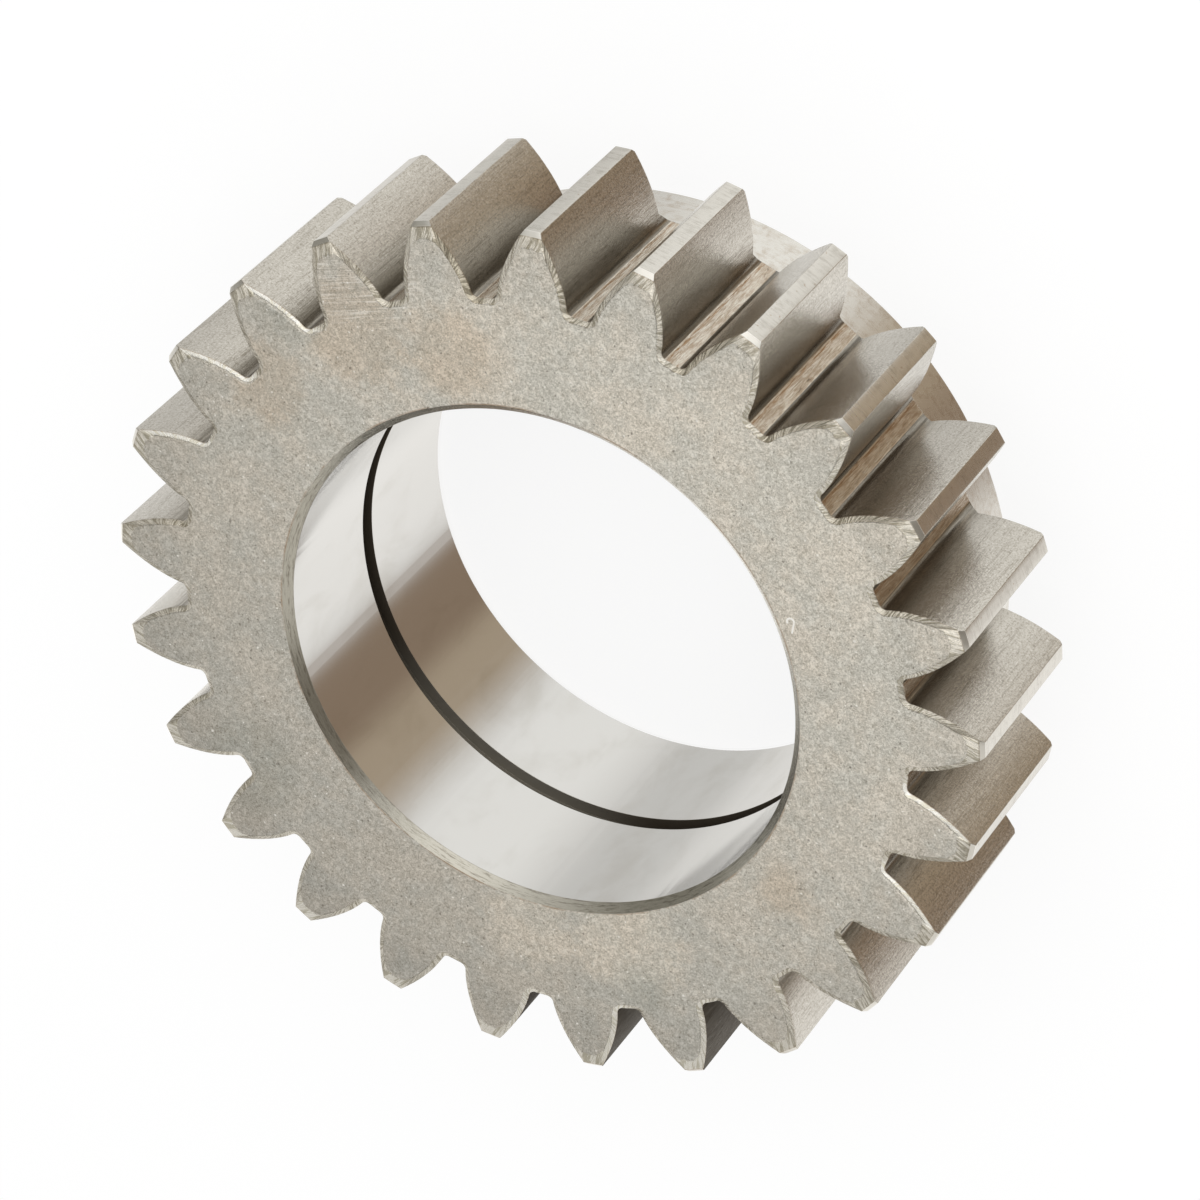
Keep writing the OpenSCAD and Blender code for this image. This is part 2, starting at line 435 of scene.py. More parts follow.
class Tree:  # the shader nodes of one material, or of the world
    def __init__(self, owner):
        owner.use_nodes = True
        self.nodes, self.links = owner.node_tree.nodes, owner.node_tree.links
        self.nodes.clear()

    def add(self, kind, settings=None, inputs=None, output=0):
        node = self.nodes.new(kind)
        for name, value in (settings or {}).items():
            setattr(node, name, value)
        for name, value in (inputs or {}).items():
            socket = node.inputs[name]
            if isinstance(value, Wire):
                self.links.new(value.socket, socket)
            elif socket.type == "RGBA":
                socket.default_value = (*value, 1)
            else:
                socket.default_value = value
        return Wire(self, node.outputs[output]) if len(node.outputs) else None

    def maths(self, operation, *values):
        return self.add("ShaderNodeMath", {"operation": operation}, dict(enumerate(values)))

    def vector(self, operation, *values, scale=None):
        inputs = dict(enumerate(values))
        if scale is not None:
            inputs["Scale"] = scale
        return self.add("ShaderNodeVectorMath", {"operation": operation}, inputs,
                        "Value" if operation in ("LENGTH", "DISTANCE", "DOT_PRODUCT") else "Vector")

    def mix(self, first, second, share, blend="MIX"):  # its colours are inputs 6 and 7, output 2
        return self.add("ShaderNodeMix", {"data_type": "RGBA", "blend_type": blend},
                        {0: share, 6: first, 7: second}, 2)

    def fade(self, value, start, end, low=0.0, high=1.0):  # low before start, high after end
        return self.add("ShaderNodeMapRange", {"interpolation_type": "SMOOTHSTEP"}, {
            "Value": value, "From Min": start, "From Max": end, "To Min": low, "To Max": high})

    def noise(self, place, scale, detail=2.0, roughness=0.5, distortion=0.0):
        return self.add("ShaderNodeTexNoise", None, {
            "Vector": place, "Scale": scale, "Detail": detail, "Roughness": roughness,
            "Distortion": distortion}, "Fac")


# The steel's own tones, and those of what lies on it, as linear colours
tones = {
    "faceLight": (0.75, 0.715, 0.655),
    "faceDark": (0.365, 0.34, 0.29),
    "faceStroke": (0.17, 0.15, 0.115),
    "pinkTint": (1.04, 1.015, 0.985),
    "greyTint": (0.94, 0.955, 0.955),
    "stainTint": (0.95, 0.90, 0.85),
    "greyStain": (0.86, 0.88, 0.88),
    "paleStain": (1.15, 1.125, 1.10),
    "tipTint": (0.91, 0.91, 0.91),
    "pit": (0.09, 0.075, 0.055),
    # the deburring's light and dark strokes where it came out brown, plain and white, the white partly
    # a painted highlight
    "strokeLight": ((0.52, 0.46, 0.34), (0.86, 0.82, 0.75), (1, 0.985, 0.94)),
    "strokeDark": ((0.14, 0.11, 0.065), (0.30, 0.27, 0.20), (0.86, 0.82, 0.70)),
    "bevel": (0.93, 0.91, 0.87),
    "land": (0.61, 0.59, 0.55),
    "flank": (0.545, 0.52, 0.475),
    "flankShade": (0.19, 0.165, 0.125),
    "floor": (0.64, 0.60, 0.53),
    "floorShade": (0.40, 0.32, 0.24),
    # soot on the root floors, and the colour of the painted shade coat on the flanks
    "sootAndShade": (0.04, 0.03, 0.02),
    "rust": (0.28, 0.16, 0.07),
    "tan": (0.36, 0.27, 0.18),
    "bore": (0.605, 0.60, 0.59),
    "smear": (0.90, 0.89, 0.87),
    "mouth": (0.64, 0.62, 0.56),
    "groove": (0.12, 0.10, 0.075),
    "grooveWorn": (0.33, 0.31, 0.27),
    "collar": (0.66, 0.645, 0.61),
    "back": (0.62, 0.58, 0.52),
    "spark": (1, 0.98, 0.94),
}

# In the looks that follow, a noise is its scale, detail, roughness and distortion, and Drawn is
# its scale each way where it is drawn out; both scales count per millimetre. Fade and Reach hold
# the values where something starts and ends, and Share is how much of it shows. Two numbers in
# "rough" are a roughness and what a noise adds to it. Relief is a height in shares of "depth"

outlineLength = np.abs(np.diff(rimOutline(tipRadius), append=rimOutline(tipRadius)[0])).sum()
toothPitch = outlineLength / gear["teeth"]
noiseMiddle = 0.5


def spread(tree, place, x, y, z):  # a texture's place, drawn out by a different share each way
    return tree.vector("MULTIPLY", place, (x, y, z))


def turnedPlace(tree, place, degrees, x, y, z):  # the same, after a turn about the axis
    turned = tree.add("ShaderNodeVectorRotate", {"rotation_type": "Z_AXIS"}, {
        "Vector": place, "Angle": math.radians(degrees)})
    return spread(tree, turned, x, y, z)


def awayFrom(tree, place, x, y):  # distance from a place on the front face
    return tree.vector("DISTANCE", place, (x, y, gearLength))


def fromAxis(tree, place):
    return tree.vector("LENGTH", spread(tree, place, 1, 1, 0))


def wayShare(tree, place, degrees):  # distance from the axis, counted one way only
    way = math.radians(degrees)
    return tree.vector("DOT_PRODUCT", place, (math.cos(way), math.sin(way), 0))


def tinted(tree, colour, tint, share=1.0):
    return tree.mix(colour, tint, share, "MULTIPLY")


def rough(look, noise):
    plain, added = look["rough"]
    return plain + added * noise


grainLook = {
    "coarseNoise": (1.3, 2, 0.6, 1.0),
    "fineNoise": (5.2, 1, 0.7, 0.8),
    "fineShare": 0.66,
    "ridgeFade": (0.003, 0.028),
    "brokenFade": (0.48, 0.60),
}


def steelGrain(tree, place):  # soft flecks, and thin broken strokes where two noises cross
    look = grainLook
    coarse = tree.noise(place, *look["coarseNoise"])
    fine = tree.noise(place, *look["fineNoise"])
    ridge = tree.maths("ABSOLUTE", coarse - noiseMiddle)
    strokes = tree.fade(ridge, *look["ridgeFade"], 1, 0) * tree.fade(fine, *look["brokenFade"])
    return (1 - look["fineShare"]) * coarse + look["fineShare"] * fine, strokes


# A curl of metal stuck to the face: a ring that opens one way, in degrees, and its tail
curl = {
    "x": -18.85, "y": -28.45, "radius": 0.42, "thick": 0.15,
    "opens": 142, "openFade": (0.1, 0.2),
    "tailX": -0.65, "tailY": 0.45, "tailWay": 113, "tailHalf": 0.75,
    "ringFade": (0.6, 1), "tailFade": (0.5, 0.9),  # shares of the thickness
    "endSoft": 0.1,
}


def curlShape(tree, place):  # a hook: most of a ring, and a straight tail
    look, thick = curl, curl["thick"]
    offset = tree.vector("SUBTRACT", place, (look["x"], look["y"], gearLength))
    ring = tree.maths("ABSOLUTE", tree.vector("LENGTH", offset) - look["radius"])
    opening = wayShare(tree, offset, look["opens"])
    ring = tree.fade(ring, *(thick * share for share in look["ringFade"]), 1, 0)
    ring = ring * tree.fade(opening, *look["openFade"], 1, 0)
    fromTail = tree.vector("SUBTRACT", offset, (look["tailX"], look["tailY"], 0))
    across = tree.maths("ABSOLUTE", wayShare(tree, fromTail, look["tailWay"] + 90))
    length = tree.maths("ABSOLUTE", wayShare(tree, fromTail, look["tailWay"]))
    tail = tree.fade(across, *(thick * share for share in look["tailFade"]), 1, 0)
    tail = tail * tree.fade(length, look["tailHalf"] - look["endSoft"], look["tailHalf"], 1, 0)
    return tree.maths("MAXIMUM", ring, tail)


plainLook = {
    "grainFade": (0.30, 0.64),
    "strokeShare": 0.6,
    "cloudNoise": (0.12, 5, 0.72),
    "cloudFade": (0.36, 0.64),
    "tipFade": (rootRadius - 2, rootRadius + 4),
    "paintedLightWay": 265,  # painted light: the face's colour is lighter this way, in degrees from X, by this share at the rim, and darker the other way
    "paintedLightShare": 0.19,  # by this share at the rim
}


def plainSteel(tree, place):  # the plain face, its grain, and the clouds its tint follows
    look = plainLook
    grain, strokes = steelGrain(tree, place)
    colour = tree.mix(tones["faceDark"], tones["faceLight"], tree.fade(grain, *look["grainFade"]))
    colour = tree.mix(colour, tones["faceStroke"], strokes * look["strokeShare"])
    cloud = tree.noise(place, *look["cloudNoise"])
    tint = tree.mix(tones["greyTint"], tones["pinkTint"], tree.fade(cloud, *look["cloudFade"]))
    colour = tinted(tree, colour, tint)
    colour = tinted(tree, colour, tones["tipTint"], tree.fade(fromAxis(tree, place), *look["tipFade"]))
    # painted light: the face's colour is scaled lighter one way across it and darker the other
    paintedLightScale = wayShare(tree, place, look["paintedLightWay"]) * (look["paintedLightShare"] / tipRadius) + 1
    return tree.vector("SCALE", colour, scale=paintedLightScale), grain, cloud


# Where fine scratches lie on the face: x, y, radius, and their way in degrees from X
scratched = {
    "x": 42, "y": -27, "radius": 9, "way": 47,
    "drawn": (0.16, 6, 1), "noise": (1, 2, 0.6),
    "edge": 0.6,  # share of the radius where they start to thin out
    "darkFade": (0.52, 0.68), "darkShare": 0.5,
    "lightFade": (0.48, 0.34), "lightShare": 0.35,
}


def scratchedSteel(tree, place, colour):
    look = scratched
    scratches = tree.noise(turnedPlace(tree, place, -look["way"], *look["drawn"]), *look["noise"])
    away = awayFrom(tree, place, look["x"], look["y"])
    here = tree.fade(away, look["edge"] * look["radius"], look["radius"], 1, 0)
    darker = tree.fade(scratches, *look["darkFade"], 0, look["darkShare"])
    lighter = tree.fade(scratches, *look["lightFade"], 0, look["lightShare"])
    colour = tree.mix(colour, tones["faceDark"], darker * here)
    return tree.mix(colour, tones["spark"], lighter * here)


# Stained places on the front face: x, y, radius and which tint they have
stains = [
    (38, -20, 6, "stainTint"), (29, -26, 5, "stainTint"), (43, -6, 5, "stainTint"),
    (-18, 31, 5, "paleStain"), (-28, 23, 7, "paleStain"), (-38, 2, 3, "stainTint"),
    (19, 40, 6, "greyStain"), (-33, 27, 3, "greyStain"), (46, -16, 4, "greyStain"),
]
faceLook = {
    "stainLeast": 0.3,  # share of a stain's radius, and what the clouds add to it
    "stainClouds": 1.4,
    "stainFade": (-2, 2),
    "dashWay": 40,
    "dashDrawn": (2.2, 0.9, 1),
    "dashNoise": (1, 1, 0.5),
    "dashFade": (0.74, 0.82),
    "dashShare": 0.45,
    "dentFade": (0.70, 0.80),
    "pitNoise": (2.1, 0),
    "pitFade": (0.76, 0.83),
    "pitShare": 0.55,
    "sparkFade": (0.22, 0.16),
    "sparkShare": 0.6,
    "rustReach": (0.05, 0.2),  # outside the bore's chamfer
    "rustFade": (0.4, 0.6),
    "rustShare": 0.6,
    "curlRelief": 0.5,
    "dentRelief": 0.3,
    "metal": 0.55,
    "rough": (0.40, 0.2),
    "depth": 0.035,
}


def facePaint(tree, place, edge):
    look = faceLook
    colour, grain, cloud = plainSteel(tree, place)
    for x, y, radius, tint in stains:
        reach = radius * (look["stainLeast"] + look["stainClouds"] * cloud)
        ragged = awayFrom(tree, place, x, y) - reach
        colour = tinted(tree, colour, tones[tint], tree.fade(ragged, *look["stainFade"], 1, 0))
    # pits and short dashes, most of them one way
    dashPlace = turnedPlace(tree, place, -look["dashWay"], *look["dashDrawn"])
    dashes = tree.noise(dashPlace, *look["dashNoise"])
    pits = tree.noise(place, *look["pitNoise"])
    colour = tree.mix(colour, tones["pit"], tree.fade(dashes, *look["dashFade"], 0, look["dashShare"]))
    colour = tree.mix(colour, tones["pit"], tree.fade(pits, *look["pitFade"], 0, look["pitShare"]))
    sparks = tree.fade(pits, *look["sparkFade"], 0, look["sparkShare"])
    colour = tree.mix(colour, tones["spark"], sparks)
    colour = scratchedSteel(tree, place, colour)
    hook = curlShape(tree, place)
    colour = tree.mix(colour, tones["spark"], hook)
    # a brown line where the bore's chamfer starts
    outside = fromAxis(tree, place) - (gear["boreRadius"] + gear["boreChamfer"])
    line = tree.fade(outside, *look["rustReach"], look["rustShare"], 0)
    colour = tree.mix(colour, tones["rust"], line * tree.fade(cloud, *look["rustFade"]))
    dents = look["dentRelief"] * tree.fade(dashes, *look["dentFade"])
    return {"colour": colour, "metallic": look["metal"], "roughness": rough(look, grain),
            "height": grain + look["curlRelief"] * hook - dents, "depth": look["depth"]}


deburrLook = {
    "alongDrawn": 2.8,
    "acrossDrawn": 0.4,  # over the whole width, as the next one
    "slant": 1.6,
    "toothShift": 3.7,  # keeps the strokes of two teeth apart
    "strokeNoise": (1, 3, 0.75),
    "strokeFade": (0.45, 0.58),
    "whiteFade": (0.4, 0.9),
    # how far the strokes, the clouds, the tooth's light and a white burr move its inner edge
    "strokeEdge": 0.8,
    "cloudEdge": 0.5,
    "lightEdge": 0.2,
    "whiteEdge": 0.45,
    "edgeFade": (0.08, 0.24),
    "plainShare": 0.55,  # how much shows on a plain tooth
    "burntWaves": 0.12,
    "burntFade": (0.97, 1.03),
    "burntShare": 0.6,
    "polishFade": (0.2, 0.9),
    "polishMetal": 0.35,
    "polishRough": 0.2,
    "rough": 0.45,
    "strokeRelief": 1.3,
    "grainRelief": 0.25,
    "depth": 0.11,
}


def deburrPaint(tree, place, edge):
    look = deburrLook
    along, share, tooth, light = edge
    plain, grain, cloud = plainSteel(tree, place)
    # the deburring tool's strokes run across the edge, aslant
    aslant = tree.add("ShaderNodeCombineXYZ", None, {
        0: along * look["alongDrawn"] + share * look["slant"],
        1: share * look["acrossDrawn"],
        2: tooth * look["toothShift"]})
    strokes = tree.noise(aslant, *look["strokeNoise"])
    # stroke colours from burnt brown through plain to white; the white is partly a painted highlight
    shade = [tree.mix(tree.mix(burnt, middle, tree.fade(light, -1, 0)), white, tree.fade(light, 0, 1))
             for burnt, middle, white in (tones["strokeLight"], tones["strokeDark"])]
    colour = tree.mix(shade[0], shade[1], tree.fade(strokes, *look["strokeFade"]))
    strength = tree.maths("ABSOLUTE", light)
    white = tree.fade(light, *look["whiteFade"])
    ragged = share + look["strokeEdge"] * (strokes - noiseMiddle)
    ragged = ragged + look["cloudEdge"] * (cloud - noiseMiddle)
    ragged = ragged + look["lightEdge"] * strength - look["whiteEdge"] * white
    ragged = tree.fade(ragged, *look["edgeFade"])
    shown = look["plainShare"] + (1 - look["plainShare"]) * strength
    colour = tree.mix(plain, colour, ragged * shown)
    # burnt metal along some of the sharp edge
    burnt = tree.fade(share + look["burntWaves"] * strokes, *look["burntFade"], 0, look["burntShare"])
    colour = tree.mix(colour, tones["rust"], burnt * strength)
    polish = ragged * tree.fade(light, *look["polishFade"], 1, 0)
    return {"colour": colour, "metallic": faceLook["metal"] + look["polishMetal"] * polish,
            "roughness": look["rough"] - look["polishRough"] * ragged,
            "height": look["strokeRelief"] * strokes * ragged + look["grainRelief"] * grain,
            "depth": look["depth"]}


bevelLook = {"drawn": (0.3, 0.3, 9), "noise": (1, 3), "rough": 0.28, "depth": 0.01}


def bevelPaint(tree, place, edge):
    look = bevelLook
    lines = tree.noise(spread(tree, place, *look["drawn"]), *look["noise"])
    return {"colour": tones["bevel"], "metallic": 1, "roughness": look["rough"],
            "height": lines, "depth": look["depth"]}


landLook = {
    "drawn": (0.25, 0.25, 3),
    "noise": (1, 4, 0.7),
    "cloudNoise": (0.7, 4, 0.7),
    "cloudShare": 0.5,
    "shadeFade": (0.46, 0.68),
    "shadeShare": 0.35,
    "speckNoise": (1.6, 1),
    "speckFade": (0.72, 0.80),
    "speckShare": 0.4,
    "rough": (0.2, 0.12),
    "depth": 0.008,
}


def turnedSteel(tree, place, look, light, dark):  # lines round the axis, with clouds over them
    turned = tree.noise(spread(tree, place, *look["drawn"]), *look["noise"])
    cloud = tree.noise(place, *look["cloudNoise"])
    both = (1 - look["cloudShare"]) * turned + look["cloudShare"] * cloud
    colour = tree.mix(light, dark, tree.fade(both, *look["shadeFade"], 0, look["shadeShare"]))
    return colour, turned, cloud


def landPaint(tree, place, edge):
    look = landLook
    colour, turned, cloud = turnedSteel(tree, place, look, tones["land"], tones["flankShade"])
    specks = tree.noise(place, *look["speckNoise"])
    rusty = tree.fade(specks, *look["speckFade"], 0, look["speckShare"])
    colour = tree.mix(colour, tones["rust"], rusty)
    return {"colour": colour, "metallic": 1, "roughness": rough(look, turned),
            "height": turned + cloud, "depth": look["depth"]}


flankLook = {
    "fineDrawn": (9, 9, 0.4),
    "fineNoise": (1, 3, 0.85),
    "fineShare": 0.65,
    "broadDrawn": (3, 3, 0.12),
    "broadNoise": (1, 2, 0.6),
    "peelNoise": (4.4, 3, 0.75, 0.6),
    "highFade": (46.5, 51),  # radii between the foot and the tip of a tooth, as the next two
    "footShadeFade": (rootRadius, 49),
    "darkeningReach": (rootRadius, 48),
    "footShadeShare": 0.5,
    "lineFade": (0.50, 0.64),
    "lineShare": 0.85,
    "lineLoss": 0.4,  # how much of that is lost at the tip
    "shadeFade": (0.47, 0.66),
    "shadeShare": 0.55,
    "shineFade": (0.44, 0.28),
    "shineShare": 0.35,
    "footShadeCoatFade": (0.3, 0.6),
    "darkeningShare": 0.45,
    "rough": (0.12, 0.14),
    "lineRelief": 1.1,
    "peelRelief": 0.6,
    "depth": 0.03,
}
# Teeth whose flanks get a painted dark reflection: their way from the axis, and cosines of how far it
# reaches
darkReflectionFlanks = {
    "way": 132,
    "reach": (0.905, 0.935),
    "radii": (46, 54),
    "shares": (0.99, 0.9),  # at those radii
    "streakFade": (0.35, 0.65),
    "streakShare": 0.88,
}


def flankPaint(tree, place, edge):
    look, reflected = flankLook, darkReflectionFlanks
    # shaving lines run along the axis, in bundles
    fine = tree.noise(spread(tree, place, *look["fineDrawn"]), *look["fineNoise"])
    broad = tree.noise(spread(tree, place, *look["broadDrawn"]), *look["broadNoise"])
    peel = tree.noise(place, *look["peelNoise"])
    radius = fromAxis(tree, place)
    high = tree.fade(radius, *look["highFade"])
    lines = look["fineShare"] * fine + (1 - look["fineShare"]) * broad
    # painted shade: the flank's colour darkens towards the root, down between the teeth
    outOfFootShade = tree.fade(radius, *look["footShadeFade"], look["footShadeShare"], 1)
    colour = tree.mix(tones["flankShade"], tones["flank"], outOfFootShade)
    shown = tree.fade(lines, *look["lineFade"]) * (look["lineShare"] - look["lineLoss"] * high)
    colour = tree.mix(colour, tones["flankShade"], shown)
    shade = tree.fade(peel, *look["shadeFade"], 0, look["shadeShare"])
    colour = tree.mix(colour, tones["flankShade"], shade)
    # painted highlight: pale patches on the upper flank
    shine = tree.fade(peel, *look["shineFade"], 0, look["shineShare"])
    colour = tree.mix(colour, tones["spark"], shine * high)
    # painted reflection: the flanks on one side of the gear darken, as if they mirrored something dark
    darkReflection = tree.fade(wayShare(tree, place, reflected["way"]) / radius, *reflected["reach"])
    darkReflection = darkReflection * tree.fade(radius, *reflected["radii"], *reflected["shares"])
    darkReflection = darkReflection * tree.fade(fine, *reflected["streakFade"], 1, reflected["streakShare"])
    # painted shade: a dark coat near the root, broken by the broad lines
    darkening = tree.fade(radius, *look["darkeningReach"], look["darkeningShare"], 0)
    darkening = darkening * tree.fade(broad, *look["footShadeCoatFade"])
    return {"colour": colour, "metallic": 1, "roughness": rough(look, lines),
            "height": look["lineRelief"] * lines + look["peelRelief"] * high * peel,
            "depth": look["depth"], "darkening": tree.maths("MAXIMUM", darkReflection, darkening)}


floorLook = {
    "lineDrawn": (11, 11, 0.5),
    "lineNoise": (1, 3, 0.8),
    "lineShare": 0.6,
    "blotDrawn": (1.8, 1.8, 0.5),
    "blotNoise": (1, 3, 0.6),
    "shadeFade": (0.38, 0.62),
    "darkeningWaves": 0.5,
    "darkeningReach": (0.35, 0.75),  # from the next tooth
    "darkeningShare": 0.9,
    "rustFade": (0.35, 0.6),
    "sootFade": (0.68, 0.76),
    "sootShare": 0.8,
    "rough": 0.2,
    "depth": 0.03,
}


def floorPaint(tree, place, edge):
    look = floorLook
    along, _, tooth, _ = edge
    lines = tree.noise(spread(tree, place, *look["lineDrawn"]), *look["lineNoise"])
    blots = tree.noise(spread(tree, place, *look["blotDrawn"]), *look["blotNoise"])
    both = look["lineShare"] * lines + (1 - look["lineShare"]) * blots
    colour = tree.mix(tones["floor"], tones["floorShade"], tree.fade(both, *look["shadeFade"]))
    # darker rust brown towards the next tooth, broken by the lines
    toNext = (tooth + 1) * toothPitch - along
    darkening = tree.fade(toNext + look["darkeningWaves"] * blots, *look["darkeningReach"], look["darkeningShare"], 0)
    colour = tree.mix(colour, tones["rust"], darkening * tree.fade(lines, *look["rustFade"]))
    colour = tree.mix(colour, tones["sootAndShade"], tree.fade(blots, *look["sootFade"], 0, look["sootShare"]))
    return {"colour": colour, "metallic": 1, "roughness": look["rough"],
            "height": lines, "depth": look["depth"]}


boreLook = {
    "smearDrawn": (1, 1, 0.5),
    "smearNoise": (0.16, 4, 0.55, 0.3),
    "smearFade": (0.45, 0.75),
    "lineDrawn": (0.2, 0.2, 6),
    "lineNoise": (1, 2),
    "rough": (0.12, 0.05),
    "depth": 0.0015,
}


def borePaint(tree, place, edge):
    look = boreLook
    smear = tree.noise(spread(tree, place, *look["smearDrawn"]), *look["smearNoise"])
    colour = tinted(tree, tones["bore"], tones["smear"], tree.fade(smear, *look["smearFade"]))
    lines = tree.noise(spread(tree, place, *look["lineDrawn"]), *look["lineNoise"])
    return {"colour": colour, "metallic": 1, "roughness": rough(look, smear),
            "height": lines, "depth": look["depth"]}


mouthLook = {
    "drawn": (0.5, 0.5, 7),
    "noise": (1, 4, 0.75),
    "shadeFade": (0.48, 0.70),
    "shadeShare": 0.7,
    "rough": 0.24,
    "depth": 0.02,
}


def mouthPaint(tree, place, edge):
    look = mouthLook
    turned = tree.noise(spread(tree, place, *look["drawn"]), *look["noise"])
    shade = tree.fade(turned, *look["shadeFade"], 0, look["shadeShare"])
    return {"colour": tree.mix(tones["mouth"], tones["flankShade"], shade), "metallic": 1,
            "roughness": look["rough"], "height": turned, "depth": look["depth"]}


grooveLook = {
    "wornWay": 95,  # the groove is cleaner this way from the axis, in degrees from X,
    "wornReach": (25, 33),  # between these distances
    "noise": (2, 2),
    "metal": 0.7,
    "rough": 0.35,
    "depth": 0.01,
}


def groovePaint(tree, place, edge):
    look = grooveLook
    worn = tree.fade(wayShare(tree, place, look["wornWay"]), *look["wornReach"])
    return {"colour": tree.mix(tones["groove"], tones["grooveWorn"], worn), "metallic": look["metal"],
            "roughness": look["rough"], "height": tree.noise(place, *look["noise"]),
            "depth": look["depth"]}


collarLook = {
    "drawn": (0.15, 0.15, 4),
    "noise": (1, 4, 0.7),
    "cloudNoise": (0.9, 4, 0.7, 0.5),
    "cloudShare": 0.65,
    "shadeFade": (0.44, 0.68),
    "shadeShare": 0.45,
    "rough": (0.22, 0.1),
    "depth": 0.006,
}


def collarPaint(tree, place, edge):
    look = collarLook
    colour, turned, cloud = turnedSteel(tree, place, look, tones["collar"], tones["tan"])
    return {"colour": colour, "metallic": 1, "roughness": rough(look, cloud),
            "height": turned + cloud, "depth": look["depth"]}


backLook = {"grainFade": (0.25, 0.6), "metal": 0.85, "rough": (0.36, 0.15), "depth": 0.02}


def backPaint(tree, place, edge):
    look = backLook
    grain, _ = steelGrain(tree, place)
    colour = tree.mix(tones["faceDark"], tones["back"], tree.fade(grain, *look["grainFade"]))
    return {"colour": colour, "metallic": look["metal"], "roughness": rough(look, grain),
            "height": grain, "depth": look["depth"]}


paints = {
    "face": facePaint, "deburr": deburrPaint, "bevel": bevelPaint, "land": landPaint,
    "flank": flankPaint, "floor": floorPaint, "bore": borePaint, "mouth": mouthPaint,
    "groove": groovePaint, "collar": collarPaint, "back": backPaint, "end": backPaint,
}


def makeFinish(name, paint):
    material = bpy.data.materials.new(name)
    tree = Tree(material)
    metres = tree.add("ShaderNodeTexCoord", output="Object")
    place = tree.vector("SCALE", metres, scale=1 / mm)
    places = tree.add("ShaderNodeAttribute", {"attribute_name": "edgePlace"}, output="Vector")
    edge = [tree.add("ShaderNodeSeparateXYZ", None, {0: places}, axis) for axis in range(3)]
    edge.append(tree.add("ShaderNodeAttribute", {"attribute_name": "edgeTintAndHighlight"}, output="Fac"))
    look = paint(tree, place, edge)
    normal = tree.add("ShaderNodeBump", None, {
        "Height": look["height"], "Distance": look["depth"] * mm, "Strength": 1.0}, "Normal")
    steel = tree.add("ShaderNodeBsdfPrincipled", None, {
        "Base Color": look["colour"], "Metallic": look["metallic"], "Roughness": look["roughness"],
        "Normal": normal}, "BSDF")
    # a dark diffuse coat mixed over the steel; on the flanks it holds painted shade and a painted dark
    # reflection
    if "darkening" in look:
        darkening = tree.add("ShaderNodeBsdfDiffuse", None, {"Color": tones["sootAndShade"]})
        steel = tree.add("ShaderNodeMixShader", None, {0: look["darkening"], 1: steel, 2: darkening})
    tree.add("ShaderNodeOutputMaterial", None, {"Surface": steel})
    return material


for name, paint in paints.items():
    body.data.materials.append(makeFinish(name, paint))
body.data.polygons.foreach_set("material_index", [list(paints).index(name) for name in surfaces])
print("finishes made:", len(paints))

# The room that the steel mirrors: soft patches by azimuth and elevation in degrees, each with
# its half width, half height, softness and colour, over a plain colour. Later ones lie on top
room = {
    "low": (1.0, 0.985, 0.95),
    "high": (0.62, 0.61, 0.57),
    "patches": [
        (160, -50, 18, 30, 24, (1.22, 1.20, 1.16)),
        (0, -50, 12, 25, 20, (0.84, 0.83, 0.80)),
        (75, -35, 8, 6, 8, (1.4, 1.37, 1.32)),
        (105, -14, 12, 6, 10, (0.52, 0.48, 0.43)),
        (165, 22, 24, 14, 18, (0.64, 0.62, 0.57)),
        (8, 5, 14, 18, 20, (0.24, 0.23, 0.20)),
        (222, 34, 20, 16, 18, (0.19, 0.17, 0.14)),
        (294, 36, 12, 16, 24, (1.08, 1.06, 1.01)),
        (15, 58, 25, 12, 16, (0.36, 0.33, 0.26)),
        (0, 90, 180, 13, 16, (1.34, 1.31, 1.23)),
        (95, 4, 35, 8, 14, (0.86, 0.84, 0.79)),
        (300, -52, 12, 20, 26, (1.19, 1.18, 1.14)),
        (242, -52, 10, 24, 26, (0.55, 0.45, 0.33)),
        (216, -52, 11, 24, 15, (0.35, 0.26, 0.185)),
    ],
    "around": 0.62,  # what lights the rough surfaces from all sides
    "backdrop": (1, 1, 1),  # what the camera sees past the floor
    "split": (-32, 8),  # elevations between which low passes into high
}


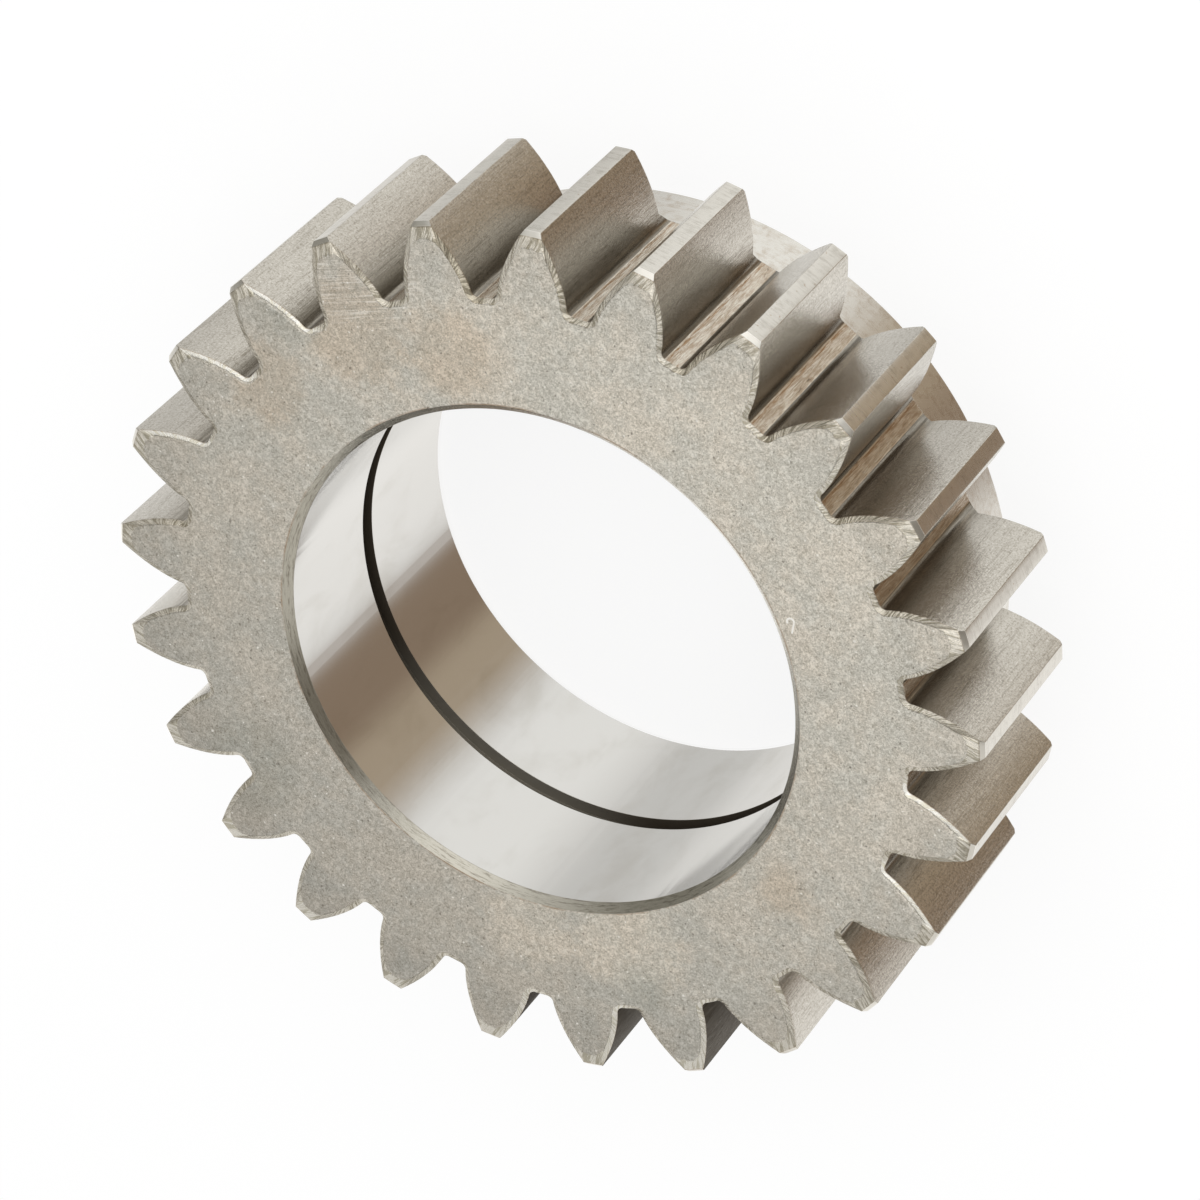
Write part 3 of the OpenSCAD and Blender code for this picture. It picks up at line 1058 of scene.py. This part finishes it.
def makeRoom():
    world = bpy.data.worlds.new("room")
    bpy.context.scene.world = world
    tree = Tree(world)
    facing = tree.add("ShaderNodeTexCoord", output="Generated")
    x, y, z = (tree.add("ShaderNodeSeparateXYZ", None, {0: facing}, axis) for axis in range(3))
    azimuth = tree.maths("ARCTAN2", y, x) * math.degrees(1)
    elevation = tree.maths("ARCSINE", z) * math.degrees(1)
    colour = tree.mix(room["low"], room["high"], tree.fade(elevation, *room["split"]))
    for where, height, width, tall, soft, shade in room["patches"]:
        beside = tree.maths("ABSOLUTE", tree.maths("WRAP", azimuth - where, 180, -180))
        above = tree.maths("ABSOLUTE", elevation - height)
        share = tree.fade(beside, width, width + soft, 1, 0) * tree.fade(above, tall, tall + soft, 1, 0)
        colour = tree.mix(colour, shade, share)
    glossyRay = tree.add("ShaderNodeLightPath", output="Is Glossy Ray")
    cameraRay = tree.add("ShaderNodeLightPath", output="Is Camera Ray")
    colour = tree.mix([room["around"]] * 3, colour, glossyRay)
    colour = tree.mix(colour, room["backdrop"], cameraRay)
    backdrop = tree.add("ShaderNodeBackground", None, {"Color": colour})
    tree.add("ShaderNodeOutputWorld", None, {"Surface": backdrop})


makeRoom()

studioFloor = {"half": 3.0, "glow": 0.84, "white": 0.18}  # metres, and shares of full white


def makeFloor():
    half = studioFloor["half"]
    mesh = bpy.data.meshes.new("floor")
    mesh.from_pydata([(-half, -half, 0), (half, -half, 0), (half, half, 0), (-half, half, 0)],
                     [], [(0, 1, 2, 3)])
    floor = bpy.data.objects.new("floor", mesh)
    bpy.context.scene.collection.objects.link(floor)
    material = bpy.data.materials.new("studioFloor")
    tree = Tree(material)
    paper = tree.add("ShaderNodeBsdfDiffuse", None, {"Color": [studioFloor["white"]] * 3})
    glow = tree.add("ShaderNodeEmission", None, {"Color": [studioFloor["glow"]] * 3})
    both = tree.add("ShaderNodeAddShader", None, {0: paper, 1: glow})
    tree.add("ShaderNodeOutputMaterial", None, {"Surface": both})
    mesh.materials.append(material)
    floor.visible_glossy = False  # the room already holds what the steel mirrors


makeFloor()

# Soft lamps: azimuth and elevation in degrees, distance and side in metres, power in watts
lamps = {
    "main": (280, 45, 0.8, 0.8, 3.4),
    "fill": (150, 55, 1.6, 1.2, 2.0),
}


def makeLamps():
    for name, (azimuth, elevation, distance, side, power) in lamps.items():
        light = bpy.data.lights.new(name, "AREA")
        light.size, light.energy = side, power
        lamp = bpy.data.objects.new(name, light)
        direction = towards(azimuth, elevation)
        lamp.location = direction * distance
        lamp.rotation_euler = direction.to_track_quat("Z", "Y").to_euler()
        lamp.visible_glossy = False
        bpy.context.scene.collection.objects.link(lamp)


makeLamps()
bpy.context.scene.view_settings.view_transform = "Standard"
print("room, floor and lamps made")
